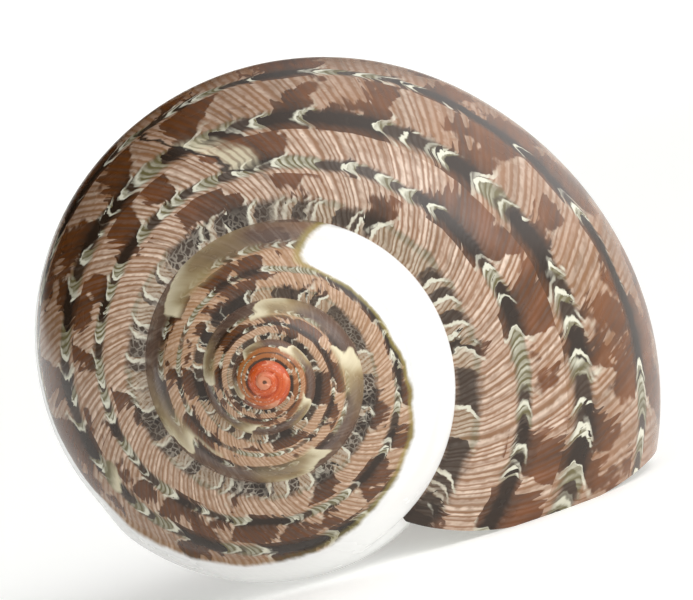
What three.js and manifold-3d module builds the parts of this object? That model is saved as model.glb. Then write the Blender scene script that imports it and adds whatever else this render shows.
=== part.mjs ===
// A turban shell lying on its mouth. One hollow tube winds to the right about a level axis and grows by the
// same factor in each turn. Lengths are millimetres and +Z is up.
import * as THREE from "three";
import { ParametricGeometry } from "three/addons/geometries/ParametricGeometry.js";
import { mergeGeometries, mergeVertices } from "three/addons/utils/BufferGeometryUtils.js";
import Module from "manifold-3d";

// Spiral: turns are counted from the mouth, so the spire lies at negative turns.
const GROWTH_PER_TURN = 1.95;
const APEX_TURN = -4.5;
const APEX_DOME = 0.3;

// Section of the whorl at turn 0. Its angle is 0 at the periphery and 90 degrees at the top.
const PERIPHERY_RADIUS = 37.3;
const AXIS_GAP = 0.5;
const SHOULDER_RISE = 24;
const BASE_DROP = 20;
const SUTURE_DEG = 23.6; // where the next whorl meets this one

// Below this angle the base curves in to the foot of the columella, on the axis.
const BASE_DEG = -60;
const FOOT_DEPTH = 60;
const FOOT_RADIUS = 4;
const BASE_FULLNESS = 0.45; // share of the way in that the base keeps its first slope

// The mouth's edge passes turn 0 by these turns, more at its top and base than at the periphery, and
// widens over its last stretch.
const LIP_PERIPHERY = 0.043;
const LIP_BOW = 0.095;
const FLARE = 2.2;
const FLARE_TURNS = [-0.15, 0.06];

// The hollow: its walls, its length in turns and the middle of its section.
const WALL = 2;
const LIP_WALL = 0.9;
const LIP_WALL_TURNS = [-0.14, 0.04];
const INNER_WALL = 0.85;
const COLUMELLA_RADIUS = 3.6;
const COLUMELLA_WAIST = -46;
const COLUMELLA_SPREAD = 0.02; // how fast it thickens away from its waist, per millimetre
const HOLLOW_TURNS = [-1.3, 0.2];
const HOLLOW_CENTRE = [24, -42];

// White callus on the whorl in front of the mouth.
const CALLUS = 1;
const CALLUS_TURNS = [-1.21, -0.6];
const CALLUS_TOP_DEG = 64;
const CALLUS_TOP_TURN = -0.98;
const CALLUS_FALL_DEG = 81;
const CALLUS_EDGE_DEG = 9;
const CALLUS_EDGE_TURN = 0.05;
const CALLUS_OPEN_TURNS = [-0.86, -0.8];

// Rest pose: the shell is turned about its coiling axis until it lies on its lip and callus, and the axis
// is laid level with the apex towards -Y.
const REST_ROLL_DEG = -15.9;

// Mesh fineness.
const STEPS_PER_TURN = 48;
const UPPER_COLUMNS = 9;
const LOWER_COLUMNS = 10;
const BASE_COLUMNS = 7;
const HOLLOW_SIDES = 30;

const wasm = await Module();
wasm.setup();

const { degToRad, radToDeg, lerp, smoothstep, clamp } = THREE.MathUtils;
const halfWidth = (PERIPHERY_RADIUS - AXIS_GAP) / 2;
const centreRadius = PERIPHERY_RADIUS - halfWidth;

// The suture is where the section meets its own copy one turn smaller, which fixes the whorl's depth.
const sutureAngle = degToRad(SUTURE_DEG);
const sutureRadius = (centreRadius + halfWidth * Math.cos(sutureAngle)) / GROWTH_PER_TURN;
const sutureAcross = (sutureRadius - centreRadius) / halfWidth;
const sutureRise = SHOULDER_RISE * Math.sqrt(1 - sutureAcross ** 2);
const lowerRise = (SHOULDER_RISE * Math.sin(sutureAngle)) / GROWTH_PER_TURN;
const peripheryDepth = (sutureRise - lowerRise) / (1 - 1 / GROWTH_PER_TURN);
const topAngle = Math.acos(sutureAcross);
const baseAngle = degToRad(BASE_DEG);

// The bow is trimmed so that whole steps separate the two growth lines that meet at a suture.
const bowSteps = Math.round(LIP_BOW * Math.cos(sutureAngle) * STEPS_PER_TURN);
const bow = bowSteps / STEPS_PER_TURN / Math.cos(sutureAngle);
const coveredSteps = STEPS_PER_TURN - bowSteps;
const apexStep = Math.round(APEX_TURN * STEPS_PER_TURN);
const baseColumn = UPPER_COLUMNS + LOWER_COLUMNS;
const footColumn = baseColumn + BASE_COLUMNS;

// Turns by which the growth line runs ahead at a section angle.
function ahead(angle) {
  return LIP_PERIPHERY + bow * (1 - Math.max(Math.cos(angle), 0));
}

// Share of the callus thickness. It fades to nothing at the suture, except where no whorl covers it.
function callusShare(turn, angle) {
  const degrees = radToDeg(angle);
  const top = CALLUS_TOP_DEG - CALLUS_FALL_DEG * Math.max(0, turn - CALLUS_TOP_TURN);
  const [start, end] = CALLUS_TURNS;
  const begun = smoothstep(turn, start, start + CALLUS_EDGE_TURN);
  const ended = smoothstep(turn, end - CALLUS_EDGE_TURN, end);
  const above = smoothstep(degrees, top - CALLUS_EDGE_DEG, top);
  const covered = smoothstep(Math.abs(degrees - SUTURE_DEG), 0, CALLUS_EDGE_DEG);
  const seam = lerp(covered, 1, smoothstep(turn, ...CALLUS_OPEN_TURNS));
  return begun * (1 - ended) * (1 - above) * seam;
}

function place(radius, height, turn, target) {
  const azimuth = -2 * Math.PI * turn;
  return target.set(radius * Math.cos(azimuth), radius * Math.sin(azimuth), height);
}

function wind(radius, height, turn, target) {
  return place(radius, height, turn, target).multiplyScalar(GROWTH_PER_TURN ** turn);
}

// A point of the outside at a growth step, counted back from the lip, and a section angle.
function skinPoint(step, angle, target) {
  const turn = step / STEPS_PER_TURN + ahead(angle);
  const across = Math.cos(angle);
  const up = Math.sin(angle);
  const callus = CALLUS * callusShare(turn, angle);
  const flare = FLARE * smoothstep(turn, ...FLARE_TURNS) * Math.max(across, 0);
  const width = (halfWidth + callus + flare) * across;
  const rise = ((up > 0 ? SHOULDER_RISE : BASE_DROP) + callus) * up;
  return wind(centreRadius + width, rise - peripheryDepth, turn, target);
}

// A point of the base, on a curve that leaves the whorl along its own slope and ends at the foot.
function basePoint(step, share, target) {
  const start = skinPoint(step, baseAngle, target);
  const radius = Math.hypot(start.x, start.y);
  const inward = radius * BASE_FULLNESS;
  const slope = BASE_DROP / Math.tan(-baseAngle) / halfWidth;
  const curve = new THREE.CubicBezierCurve(
    new THREE.Vector2(radius, start.z),
    new THREE.Vector2(radius - inward, start.z - inward * slope),
    new THREE.Vector2(FOOT_RADIUS, -FOOT_DEPTH),
    new THREE.Vector2(0, -FOOT_DEPTH),
  );
  const { x, y } = curve.getPoint(share);
  const turn = step / STEPS_PER_TURN + LIP_PERIPHERY + bow * (1 - Math.cos(baseAngle) * (1 - share) ** 2);
  return place(x, y, turn, target);
}

// Columns from the suture at the top to the suture below, on to the base and in to the axis. A suture that
// the next whorl covers is that whorl's own top point.
function columnPoint(step, column, target) {
  const below = column - UPPER_COLUMNS;
  if (below === 0 && step <= -coveredSteps) return skinPoint(step + coveredSteps, topAngle, target);
  if (column > baseColumn) return basePoint(step, (column - baseColumn) / BASE_COLUMNS, target);
  const upper = lerp(topAngle, sutureAngle, column / UPPER_COLUMNS);
  const lower = lerp(sutureAngle, baseAngle, below / LOWER_COLUMNS);
  return skinPoint(step, below < 0 ? upper : lower, target);
}

// A patch of the outside from a step up to the lip, between two columns.
function skinPatch(fromStep, fromColumn, toColumn) {
  const columns = toColumn - fromColumn;
  const at = (u, v, target) => {
    const step = Math.round(fromStep * (1 - u));
    return columnPoint(step, fromColumn + Math.round(v * columns), target);
  };
  return new ParametricGeometry(at, -fromStep, columns);
}

// A fan that closes a loop of points to one middle point.
function fan(loop, middle) {
  const at = (u, v, target) => {
    const corner = loop[Math.round(u * loop.length) % loop.length];
    return target.copy(v < 0.5 ? middle : corner);
  };
  return new ParametricGeometry(at, loop.length, 1);
}

function points(count, at) {
  return Array.from({ length: count }, (_, i) => at(i, new THREE.Vector3()));
}

// A closed mesh as a solid to join and cut.
function solidOf(geometry) {
  geometry.deleteAttribute("normal");
  geometry.deleteAttribute("uv");
  const merged = mergeVertices(geometry, 1e-4);
  const corners = merged.index.array;
  const kept = [];
  for (let i = 0; i < corners.length; i += 3) {
    const [a, b, c] = corners.slice(i, i + 3);
    if (a !== b && b !== c && c !== a) kept.push(a, b, c);
  }
  const vertProperties = merged.attributes.position.array;
  return new wasm.Manifold(new wasm.Mesh({ numProp: 3, vertProperties, triVerts: new Uint32Array(kept) }));
}

function outsideSolid() {
  const lip = points(footColumn, (i, p) => columnPoint(0, i, p));
  const freeColumns = footColumn - UPPER_COLUMNS;
  const parietal = points(freeColumns, (i, p) => columnPoint(-coveredSteps, footColumn - i, p));
  const mouth = wind(...HOLLOW_CENTRE, ahead(0), new THREE.Vector3());
  const firstRing = points(UPPER_COLUMNS, (i, p) => columnPoint(apexStep, UPPER_COLUMNS - i, p));
  const topEdge = points(coveredSteps, (i, p) => columnPoint(apexStep + i, 0, p));
  const apex = new THREE.Vector3(0, 0, topEdge[0].z + APEX_DOME);
  const patches = [
    skinPatch(apexStep, 0, UPPER_COLUMNS),
    skinPatch(-coveredSteps, UPPER_COLUMNS, footColumn),
    fan([...lip, ...parietal], mouth),
    fan([...firstRing, ...topEdge], apex),
  ];
  return solidOf(mergeGeometries(patches));
}

// Room inside the hollow at a point of the section: positive where the animal lived.
function room(radius, height, wall) {
  const across = (radius - centreRadius) / (halfWidth - wall);
  const rise = (height > -peripheryDepth ? SHOULDER_RISE : BASE_DROP) - wall;
  const up = (height + peripheryDepth) / rise;
  const inside = 1 - across ** 2 - up ** 2;
  const earlierAcross = (radius * GROWTH_PER_TURN - centreRadius) / (halfWidth + INNER_WALL * GROWTH_PER_TURN);
  const earlierHeight = height * GROWTH_PER_TURN + peripheryDepth;
  const earlierRise = (earlierHeight > 0 ? SHOULDER_RISE : BASE_DROP) + INNER_WALL * GROWTH_PER_TURN;
  const outside = earlierAcross ** 2 + (earlierHeight / earlierRise) ** 2 - 1;
  const columella = COLUMELLA_RADIUS + COLUMELLA_SPREAD * (height - COLUMELLA_WAIST) ** 2;
  return Math.min(inside, outside, radius - columella);
}

// The section of the hollow, found by halving along rays from its middle.
function hollowEdge(angle, wall) {
  const [radius, height] = HOLLOW_CENTRE;
  let near = 0;
  let far = PERIPHERY_RADIUS;
  for (let i = 0; i < 30; i++) {
    const reach = (near + far) / 2;
    const free = room(radius + reach * Math.cos(angle), height + reach * Math.sin(angle), wall) > 0;
    if (free) near = reach;
    else far = reach;
  }
  return [radius + near * Math.cos(angle), height + near * Math.sin(angle)];
}

function hollowSolid() {
  const [from, to] = HOLLOW_TURNS;
  const steps = Math.round((to - from) * STEPS_PER_TURN);
  const at = (u, v, target) => {
    const row = Math.round(u * (steps + 2)) - 1;
    const turn = lerp(from, to, clamp(row, 0, steps) / steps) + LIP_PERIPHERY;
    if (row < 0 || row > steps) return wind(...HOLLOW_CENTRE, turn, target);
    const wall = lerp(WALL, LIP_WALL, smoothstep(turn, ...LIP_WALL_TURNS));
    return wind(...hollowEdge(-2 * Math.PI * (v % 1), wall), turn, target);
  };
  return solidOf(new ParametricGeometry(at, steps + 2, HOLLOW_SIDES));
}

const shell = outsideSolid().subtract(hollowSolid());

const mesh = shell.getMesh();
const geometry = new THREE.BufferGeometry();
geometry.setAttribute("position", new THREE.BufferAttribute(mesh.vertProperties, 3));
geometry.setIndex(new THREE.BufferAttribute(mesh.triVerts, 1));
geometry.rotateZ(degToRad(REST_ROLL_DEG)).rotateX(Math.PI / 2);
geometry.computeBoundingBox();
const foot = geometry.boundingBox.getCenter(new THREE.Vector3());
geometry.translate(-foot.x, -foot.y, -geometry.boundingBox.min.z);

const material = new THREE.MeshStandardMaterial({ color: "#7a5140", roughness: 0.25, metalness: 0 });
const body = new THREE.Mesh(geometry, material);
body.name = "shell";

const part = new THREE.Group();
part.name = "turban_shell";
part.add(body);

export default part;
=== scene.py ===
import functools
import math
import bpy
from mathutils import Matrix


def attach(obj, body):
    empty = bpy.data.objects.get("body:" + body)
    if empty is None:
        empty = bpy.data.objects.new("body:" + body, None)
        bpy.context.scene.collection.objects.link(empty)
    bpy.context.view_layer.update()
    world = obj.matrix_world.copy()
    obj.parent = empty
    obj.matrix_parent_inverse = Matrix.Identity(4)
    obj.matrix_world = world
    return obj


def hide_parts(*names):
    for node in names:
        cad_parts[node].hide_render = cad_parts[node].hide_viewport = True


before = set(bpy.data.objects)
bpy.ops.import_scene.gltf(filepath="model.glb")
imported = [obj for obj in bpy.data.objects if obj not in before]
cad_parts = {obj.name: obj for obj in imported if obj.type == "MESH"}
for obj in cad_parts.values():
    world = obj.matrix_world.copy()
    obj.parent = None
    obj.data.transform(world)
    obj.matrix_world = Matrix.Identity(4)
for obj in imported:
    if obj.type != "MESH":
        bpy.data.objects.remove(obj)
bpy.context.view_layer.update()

from types import SimpleNamespace

import bmesh
import bpy
from bpy.props import FloatProperty, FloatVectorProperty, IntProperty, PointerProperty
from mathutils import Matrix, Vector

bl_info = {
    "name": "Turban Shell",
    "version": (1, 0, 0),
    "blender": (4, 5, 0),
    "location": "3D View > Sidebar > Shell",
    "description": "Grows a glossy, banded turban shell with a pearly inside, lying on its mouth",
    "category": "Add Mesh",
}

MM = 0.001
CIRCLE = 2 * math.pi

# Section of the whorl at turn 0: its angle is 0 at the periphery and 90 degrees at the top.
AXIS_GAP = 0.5 * MM
SUTURE_DEG = 23.6
BASE_DEG = -60
FOOT_DEPTH = 60 * MM
FOOT_RADIUS = 4 * MM
BASE_FULLNESS = 0.45

# Growth lines run ahead at the top and the base, and the mouth's edge is the last of them.
LIP_PERIPHERY = 0.043
LIP_BOW = 0.095
FLARE_TURNS = (-0.15, 0.06)
TIP_DEPTH = 0.52 * MM  # from the pole of the spiral down to the tip of the spire

# The hollow behind the mouth.
LIP_WALL = 0.9 * MM
LIP_WALL_TURNS = (-0.14, 0.04)
INNER_WALL = 0.85 * MM
COLUMELLA_RADIUS = 3.6 * MM
COLUMELLA_WAIST = -46 * MM
COLUMELLA_SPREAD = 0.02 / MM
HOLLOW_CENTRE = (24 * MM, -42 * MM)
HOLLOW_TURNS = 1.2
MOUTH_TURNS = 1.5  # the edge of the mouth lies within these last turns
LIP_ROUNDING = 0.1 * MM
LIP_BEVEL_TURN = 0.014
ONWARD_TURN = 0.002  # step that shows which way the hollow runs
AXIS_REACH = 0.1 * MM  # a point this close to the axis has no turn of its own
HALVINGS = 24

# White callus on the whorl in front of the mouth, in turns and degrees.
CALLUS_TURNS = (-1.21, -0.6)
CALLUS_TOP_DEG = 64
CALLUS_TOP_TURN = -0.98
CALLUS_FALL_DEG = 81
CALLUS_EDGE_DEG = 6
CALLUS_EDGE_TURN = 0.04
CALLUS_OPEN_TURNS = (-0.86, -0.8)

# A break of the lip, mended by the animal.
SCAR_TURN = -0.3905
SCAR_LENGTH = 0.09
SCAR_FOOT_DEG = (8, 26)
SCAR_HEAD_DEG = (66, 80)

# Mesh fineness.
STEPS_PER_TURN = 192
SPIRE_TURNS = 6
CAP_TURNS = 1
GROWN_TURNS = 3  # the whorls before these are smaller copies
UPPER_COLUMNS = 40
LOWER_COLUMNS = 36
BASE_COLUMNS = 20
HALF_STEP = 0.5 / STEPS_PER_TURN
HOLLOW_STEPS_PER_TURN = 80
WELD_REACH = 1e-7
LIP_ROWS = 4
SHARP_DEG = 38

# The rest pose turns the shell about its axis and lays the axis level.
REST_ROLL_DEG = -15.9

# The map that the skin's pattern follows: turns of growth along, section angle over 90 degrees across.
GROWTH_MAP = "growth"
DEG_PER_ACROSS = 90
BASE_ACROSS = 0.9

# Camera, from the pole of the spiral: how the axis leans to it, its distance and where the pole appears.
AXIS_LEAN_DEG = (4.08, 4.52)
PHOTO_WIDTH = 693
PHOTO_HEIGHT = 600
POLE_PIXEL = (264, 383)
SENSOR_WIDTH = 36
CLIP_START = 0.01

# The surroundings are brightest on this side, and fade out towards the other.
BRIGHT_SIDE = (0.96, -0.2, 0.12)
BRIGHT_SPREAD = (-0.3, 1.0)

# One large soft light, in metres.
SOFTBOX_PLACE = (0.55, -0.45, 0.4)
SOFTBOX_SIZE = 0.5

# The floor, in metres, and the curve in which it rises at its edge.
FLOOR_BEND = 0.25
FLOOR_BEND_STEPS = 12
FLOOR_STEPS = 96
FLOOR_WELD = 1e-5
FLOOR_ROUGHNESS = 0.9
FLOOR_SHEEN = 0.1
FLOOR_GLOW = 0.36


def linear(code, alpha=1.0):
    """The linear colour of an sRGB hex value."""
    shares = [int(code[i:i + 2], 16) / 255 for i in (1, 3, 5)]
    return (*[s / 12.92 if s <= 0.04045 else ((s + 0.055) / 1.055) ** 2.4 for s in shares], alpha)


def smoothstep(value, low, high):
    share = min(max((value - low) / (high - low), 0), 1)
    return share * share * (3 - 2 * share)


def colour_setting(name, description, code):
    return FloatVectorProperty(
        name=name, description=description, default=linear(code), size=4, subtype="COLOR", min=0, max=1
    )


def number_setting(name, description, default, **more):
    return FloatProperty(name=name, description=description, default=default, **more)


def length_setting(name, description, default):
    return number_setting(name, description, default, min=0, unit="LENGTH", subtype="DISTANCE")


class ShellForm(bpy.types.PropertyGroup):
    """Sizes of the shell."""

    growth: number_setting("Growth per Turn", "Size ratio of a whorl to the one before", 1.95)
    periphery_radius: length_setting("Periphery Radius", "Reach of the last whorl from the axis", 37.3 * MM)
    shoulder_rise: length_setting("Shoulder Rise", "Height of the whorl above its periphery", 24 * MM)
    base_drop: length_setting("Base Drop", "Depth of the whorl below its periphery", 20 * MM)
    flare: length_setting("Lip Flare", "How far the outer lip widens", 2.2 * MM)
    wall: length_setting("Wall", "Thickness of the whorl behind the lip", 2 * MM)
    callus: length_setting("Callus", "Thickness of the white callus", 1 * MM)
    scar: length_setting("Scar", "Step down at the mended break", 0.3 * MM)


class ShellColours(bpy.types.PropertyGroup):
    """Colours of the shell."""

    brown: colour_setting("Brown", "Ground colour of the skin", "#7a4b2e")
    # Umber also paints shade over the ground of the earlier growth.
    umber: colour_setting("Umber", "Darker ground between the stripes", "#40240f")
    amber: colour_setting("Amber", "Warm ground low on the whorl", "#6f3f14")
    stripe: colour_setting("Stripe", "Pale growth stripes", "#e6d4c4")
    band: colour_setting("Band", "Black-olive spiral bands", "#271e16")
    olive: colour_setting("Olive", "Green cast inside the bands", "#6c6440")
    crescent: colour_setting("Crescent", "Pale marks that cross the bands", "#dcdac8")
    net: colour_setting("Net", "Pale net below the suture", "#c2b8a8")
    flame: colour_setting("Flame", "Olive-cream behind the pale flames", "#a8946c")
    tan: colour_setting("Tan", "Warm cast of the spire", "#ba9069")
    # Cream also paints the highlight on the earlier half of the pale spot.
    cream: colour_setting("Cream", "Flames, foot and the patch beside the mended break", "#dcd2b4")
    embryo: colour_setting("Embryo", "Pink first whorl", "#d08a68")
    lilac: colour_setting("Lilac", "Smooth lower part of the spire whorls", "#6a554a")
    callus: colour_setting("Callus", "White callus", "#f2f2f1")
    moss: colour_setting("Moss", "Yellow-green edge of the callus", "#9c8e4e")
    apex: colour_setting("Apex", "Red tip of the spire", "#cc4e1a")
    rust: colour_setting("Rust", "Orange whorl round the tip", "#a2602a")
    pearl: colour_setting("Pearl", "Inside of the mouth", "#ece6dc")


class StageSettings(bpy.types.PropertyGroup):
    """Floor, light and camera."""

    radius: length_setting("Floor Radius", "Reach of the floor before it curves up", 1.2)
    camera_distance: length_setting("Camera Distance", "From the pole of the spiral", 450 * MM)
    focal_pixels: IntProperty(
        name="Focal Pixels", description="Focal length in pixels of the image", default=4500
    )
    surround: number_setting("Surround", "Brightness of the white surroundings", 2.4)
    dim_side: number_setting("Dim Side", "Brightness of the surroundings on the far left", 0)
    softbox: number_setting("Softbox", "Power of the large soft light", 1.5, unit="POWER")
    floor: colour_setting("Floor", "Colour of the pale floor", "#e9e9e7")


def spiral_of(form):
    """The sizes that follow from the shell's form."""
    half_width = (form.periphery_radius - AXIS_GAP) / 2
    centre = form.periphery_radius - half_width
    suture = math.radians(SUTURE_DEG)
    suture_across = ((centre + half_width * math.cos(suture)) / form.growth - centre) / half_width
    suture_rise = form.shoulder_rise * math.sqrt(1 - suture_across**2)
    lower_rise = form.shoulder_rise * math.sin(suture) / form.growth
    bow_steps = round(LIP_BOW * math.cos(suture) * STEPS_PER_TURN)
    return SimpleNamespace(
        growth=form.growth,
        periphery=form.periphery_radius,
        rise=form.shoulder_rise,
        drop=form.base_drop,
        flare=form.flare,
        wall=form.wall,
        callus=form.callus,
        scar=form.scar,
        half_width=half_width,
        centre=centre,
        depth=(suture_rise - lower_rise) / (1 - 1 / form.growth),
        suture=suture,
        top=math.acos(suture_across),
        base=math.radians(BASE_DEG),
        bow=bow_steps / STEPS_PER_TURN / math.cos(suture),
        covered=STEPS_PER_TURN - bow_steps,
    )


def wind(spiral, radius, height, turn):
    """A point of the section, carried round the axis and grown to its turn."""
    azimuth = -CIRCLE * turn
    return Vector((radius * math.cos(azimuth), radius * math.sin(azimuth), height)) * spiral.growth**turn


def ahead(spiral, angle):
    return LIP_PERIPHERY + spiral.bow * (1 - max(math.cos(angle), 0))


def callus_share(turn, angle):
    """Share of the callus thickness. It fades out at the suture, except where no whorl covers it."""
    degrees = math.degrees(angle)
    top = CALLUS_TOP_DEG - CALLUS_FALL_DEG * max(0, turn - CALLUS_TOP_TURN)
    begun = smoothstep(turn, CALLUS_TURNS[0], CALLUS_TURNS[0] + CALLUS_EDGE_TURN)
    ended = smoothstep(turn, CALLUS_TURNS[1] - CALLUS_EDGE_TURN, CALLUS_TURNS[1])
    above = smoothstep(degrees, top - CALLUS_EDGE_DEG, top)
    covered = smoothstep(abs(degrees - SUTURE_DEG), 0, CALLUS_EDGE_DEG)
    opened = smoothstep(turn, *CALLUS_OPEN_TURNS)
    return begun * (1 - ended) * (1 - above) * (covered + (1 - covered) * opened)


def scar_share(growth, angle):
    """Share of the step where a break was mended: sudden at the break, then slowly made good."""
    broken = smoothstep(growth, SCAR_TURN - HALF_STEP, SCAR_TURN + HALF_STEP)
    mended = smoothstep(growth, SCAR_TURN + HALF_STEP, SCAR_TURN + SCAR_LENGTH)
    degrees = math.degrees(angle)
    inner = smoothstep(degrees, *SCAR_FOOT_DEG) * (1 - smoothstep(degrees, *SCAR_HEAD_DEG))
    return broken * (1 - mended) * inner


def skin_point(spiral, angle, growth):
    """A point of the skin on a growth line, at a section angle."""
    turn = growth + ahead(spiral, angle)
    across = math.cos(angle)
    up = math.sin(angle)
    callus = spiral.callus * callus_share(turn, angle)
    flare = spiral.flare * smoothstep(turn, *FLARE_TURNS) * max(across, 0)
    extra = callus - spiral.scar * scar_share(growth, angle)
    rise = (spiral.rise if up > 0 else spiral.drop) + extra
    radius = spiral.centre + (spiral.half_width + extra + flare) * across
    return wind(spiral, radius, rise * up - spiral.depth, turn)


def base_point(spiral, share, growth):
    """A point of the base, on a curve that leaves the whorl along its slope and ends at the foot."""
    start = skin_point(spiral, spiral.base, growth)
    radius = math.hypot(start.x, start.y)
    inward = radius * BASE_FULLNESS
    slope = spiral.drop / math.tan(-spiral.base) / spiral.half_width
    rest = 1 - share
    knots = (
        (radius, start.z, rest**3),
        (radius - inward, start.z - inward * slope, 3 * rest**2 * share),
        (FOOT_RADIUS, -FOOT_DEPTH, 3 * rest * share**2),
        (0, -FOOT_DEPTH, share**3),
    )
    reach = sum(r * weight for r, _, weight in knots)
    height = sum(z * weight for _, z, weight in knots)
    turn = growth + LIP_PERIPHERY + spiral.bow * (1 - math.cos(spiral.base) * rest**2)
    azimuth = -CIRCLE * turn
    return Vector((reach * math.cos(azimuth), reach * math.sin(azimuth), height))


def suture_point(spiral, growth):
    """The lower suture, which is the next whorl's top edge wherever that whorl covers it."""
    if round(growth * STEPS_PER_TURN) > -spiral.covered:
        return skin_point(spiral, spiral.suture, growth)
    return skin_point(spiral, spiral.top, growth + spiral.covered / STEPS_PER_TURN)


def upper_columns(spiral):
    """Columns of the skin between the two sutures, each with its place across the map."""
    columns = []
    for i in range(UPPER_COLUMNS):
        angle = spiral.top + (spiral.suture - spiral.top) * i / UPPER_COLUMNS
        columns.append((math.degrees(angle) / DEG_PER_ACROSS, functools.partial(skin_point, spiral, angle)))
    columns.append((SUTURE_DEG / DEG_PER_ACROSS, functools.partial(suture_point, spiral)))
    return columns


def lower_columns(spiral):
    """Columns from the lower suture to the base and on to the foot."""
    columns = upper_columns(spiral)[-1:]
    for i in range(1, LOWER_COLUMNS + 1):
        angle = spiral.suture + (spiral.base - spiral.suture) * i / LOWER_COLUMNS
        columns.append((math.degrees(angle) / DEG_PER_ACROSS, functools.partial(skin_point, spiral, angle)))
    for i in range(1, BASE_COLUMNS + 1):
        share = i / BASE_COLUMNS
        across = BASE_DEG / DEG_PER_ACROSS - BASE_ACROSS * share
        columns.append((across, functools.partial(base_point, spiral, share)))
    return columns


def extrude_chain(bm, chain):
    """Extrudes a chain of edges, and returns the new vertices and the new chain."""
    made = bmesh.ops.extrude_edge_only(bm, edges=chain)["geom"]
    ring = [item for item in made if isinstance(item, bmesh.types.BMVert)]
    edges = [item for item in made if isinstance(item, bmesh.types.BMEdge)]
    new = set(ring)
    return ring, [edge for edge in edges if new.issuperset(edge.verts)]


def grow_strip(bm, columns, first_step):
    """Extrudes a chain of vertices along the growth, from a first step up to the lip."""
    column_of = bm.verts.layers.int["column"]
    growth_of = bm.verts.layers.float["growth"]
    across_of = bm.verts.layers.float["across"]
    ring = [bm.verts.new() for _ in columns]
    chain = [bm.edges.new(pair) for pair in zip(ring, ring[1:])]
    for i, vert in enumerate(ring):
        vert[column_of] = i
        vert[across_of] = columns[i][0]
    for step in range(first_step, 1):
        if step > first_step:
            ring, chain = extrude_chain(bm, chain)
        for vert in ring:
            vert.co = columns[vert[column_of]][1](step / STEPS_PER_TURN)
            vert[growth_of] = step / STEPS_PER_TURN


def room(spiral, radius, height, wall):
    """Room in the hollow at a point of the section: positive where the animal lived."""
    across = (radius - spiral.centre) / (spiral.half_width - wall)
    up = (height + spiral.depth) / ((spiral.rise if height > -spiral.depth else spiral.drop) - wall)
    gap = INNER_WALL * spiral.growth
    earlier_across = (radius * spiral.growth - spiral.centre) / (spiral.half_width + gap)
    earlier_height = height * spiral.growth + spiral.depth
    earlier_up = earlier_height / ((spiral.rise if earlier_height > 0 else spiral.drop) + gap)
    columella = COLUMELLA_RADIUS + COLUMELLA_SPREAD * (height - COLUMELLA_WAIST) ** 2
    return min(1 - across**2 - up**2, earlier_across**2 + earlier_up**2 - 1, (radius - columella) / MM)


def hollow_point(spiral, ray, turn):
    """A point of the hollow's wall along a ray from the middle of its section, found by halving."""
    wall = spiral.wall + (LIP_WALL - spiral.wall) * smoothstep(turn, *LIP_WALL_TURNS)
    radius, height = HOLLOW_CENTRE
    near, far = 0, spiral.periphery
    for _ in range(HALVINGS):
        reach = (near + far) / 2
        if room(spiral, radius + reach * math.cos(ray), height + reach * math.sin(ray), wall) > 0:
            near = reach
        else:
            far = reach
    radius += near * math.cos(ray)
    across = max((radius - spiral.centre) / spiral.half_width, 0)
    radius += spiral.flare * smoothstep(turn, *FLARE_TURNS) * across**2
    return wind(spiral, radius, height + near * math.sin(ray), turn)


def weld_edges(bm):
    """Joins open edges that lie on each other."""
    rim = {vert for edge in bm.edges if edge.is_boundary for vert in edge.verts}
    bmesh.ops.remove_doubles(bm, verts=list(rim), dist=WELD_REACH)


def copy_whorls(bm, spiral, whorl, growth_map):
    """Adds the earlier whorls, each a copy of the first one that was grown, at a smaller scale."""
    for back in range(1, SPIRE_TURNS - GROWN_TURNS + 1):
        copy = bmesh.ops.duplicate(bm, geom=whorl)["geom"]
        verts = [item for item in copy if isinstance(item, bmesh.types.BMVert)]
        bmesh.ops.scale(bm, vec=(spiral.growth**-back,) * 3, verts=verts)
        for face in copy:
            if isinstance(face, bmesh.types.BMFace):
                for loop in face.loops:
                    loop[growth_map].uv.x -= back


def cap_apex(bm, growth_map):
    """Closes the tip of the spire with a low dome."""
    rim = [edge for edge in bm.edges if edge.is_boundary]
    bmesh.ops.contextual_create(bm, geom=rim)
    cap = [face for edge in rim for face in edge.link_faces if len(face.verts) > 4]
    dome = bmesh.ops.poke(bm, faces=cap[:1])
    for vert in dome["verts"]:
        vert.co = Vector((0, 0, max(v.co.z for e in vert.link_edges for v in e.verts)))
    for face in dome["faces"]:
        for loop in face.loops:
            inward = CAP_TURNS if loop.vert in dome["verts"] else 0
            loop[growth_map].uv = (-SPIRE_TURNS - inward, 1)


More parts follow.
